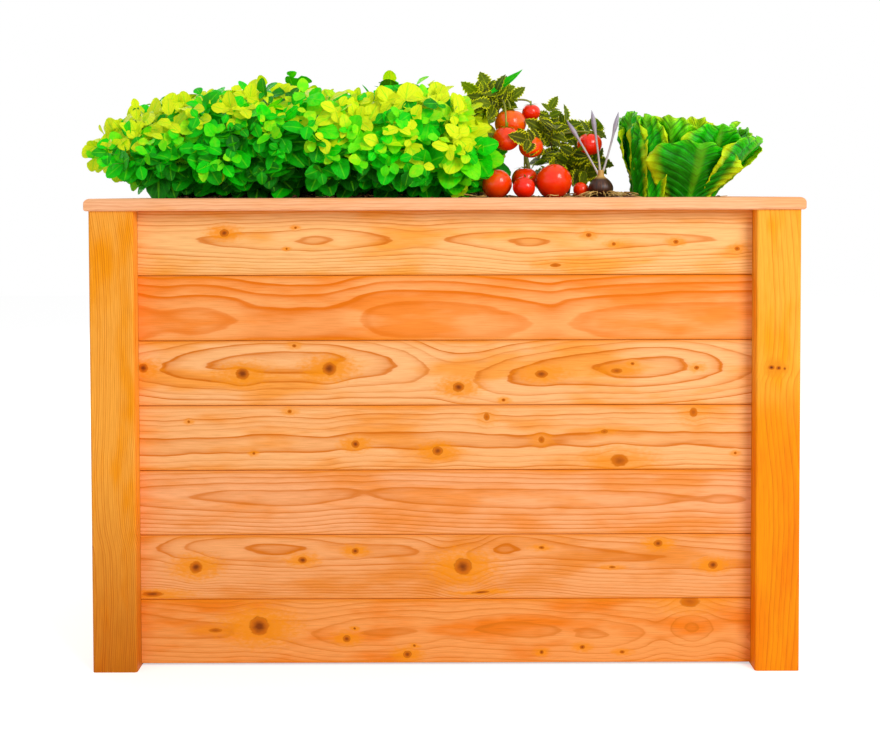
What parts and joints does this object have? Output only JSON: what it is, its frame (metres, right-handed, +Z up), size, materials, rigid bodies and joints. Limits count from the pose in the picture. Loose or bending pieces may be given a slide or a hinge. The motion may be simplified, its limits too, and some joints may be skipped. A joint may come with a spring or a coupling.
{
  "type": "raised garden bed",
  "caption": "Tall open-bottomed timber raised garden bed with corner posts, tongued and grooved board walls and a mitred cap rail, filled with soil and planted.",
  "frame": {"origin": "on the ground, under the middle of the bed's plan", "axes": "+Z up; +X along the long walls, to the right as seen from the front; +Y from the front wall to the back wall"},
  "size_m": [1.206, 0.606, 1.0411],
  "materials": {
    "board_pine": "planed softwood boards, warm yellow-orange with flame grain and small knots, satin oil",
    "post_pine": "planed softwood posts, a deeper orange than the boards, eased edges, satin oil",
    "cap_pine": "planed softwood rails, pale pinkish orange with straight grain, rounded edges, satin oil",
    "batten_pine": "sawn softwood battens, pale and unoiled",
    "yellow_zinc_steel": "yellow zinc-plated countersunk screws",
    "galvanised_steel": "galvanised steel, dull grey",
    "black_membrane": "black breathable root membrane, matt",
    "gravel": "washed drainage gravel, loose, filled to its bulk volume",
    "garden_soil": "dark moist garden soil with bits of straw and bark, loose",
    "herb_leaf": "living oval herb leaves, mid green with yellow-green tops",
    "green_stem": "living tomato stems, olive green",
    "tomato_leaf": "living lobed tomato leaves, dark olive green",
    "tomato_skin": "ripe tomato skin, glossy red with a paler shoulder",
    "bulb_skin": "papery brown bulb skin with pale lilac-grey shoots",
    "cabbage_leaf": "living cabbage leaves, mid green with pale ribs and yellow-green rims"
  },
  "bodies": {
    "root": {"back_board_1": "board_pine", "back_board_2": "board_pine", "back_board_3": "board_pine", "back_board_4": "board_pine", "back_board_5": "board_pine", "back_board_6": "board_pine", "back_board_7": "board_pine", "back_stud": "batten_pine", "board_screws": "yellow_zinc_steel", "cabbage": "cabbage_leaf", "cap_back": "cap_pine", "cap_front": "cap_pine", "cap_left": "cap_pine", "cap_right": "cap_pine", "cap_screws": "yellow_zinc_steel", "cleat_screws": "yellow_zinc_steel", "cleats_back_left": "batten_pine", "cleats_back_right": "batten_pine", "cleats_front_left": "batten_pine", "cleats_front_right": "batten_pine", "front_board_1": "board_pine", "front_board_2": "board_pine", "front_board_3": "board_pine", "front_board_4": "board_pine", "front_board_5": "board_pine", "front_board_6": "board_pine", "front_board_7": "board_pine", "front_stud": "batten_pine", "gravel": "gravel", "herb_bush_1": "herb_leaf", "herb_bush_2": "herb_leaf", "herb_bush_3": "herb_leaf", "herb_bush_4": "herb_leaf", "left_board_1": "board_pine", "left_board_2": "board_pine", "left_board_3": "board_pine", "left_board_4": "board_pine", "left_board_5": "board_pine", "left_board_6": "board_pine", "left_board_7": "board_pine", "liner": "black_membrane", "liner_tacks": "galvanised_steel", "net_staples": "galvanised_steel", "post_back_left": "post_pine", "post_back_right": "post_pine", "post_front_left": "post_pine", "post_front_right": "post_pine", "right_board_1": "board_pine", "right_board_2": "board_pine", "right_board_3": "board_pine", "right_board_4": "board_pine", "right_board_5": "board_pine", "right_board_6": "board_pine", "right_board_7": "board_pine", "rodent_net": "galvanised_steel", "soil": "garden_soil", "sprouting_bulb": "bulb_skin", "tomato_foliage": "tomato_leaf", "tomato_stem": "green_stem", "tomatoes": "tomato_skin"}
  },
  "joints": []
}
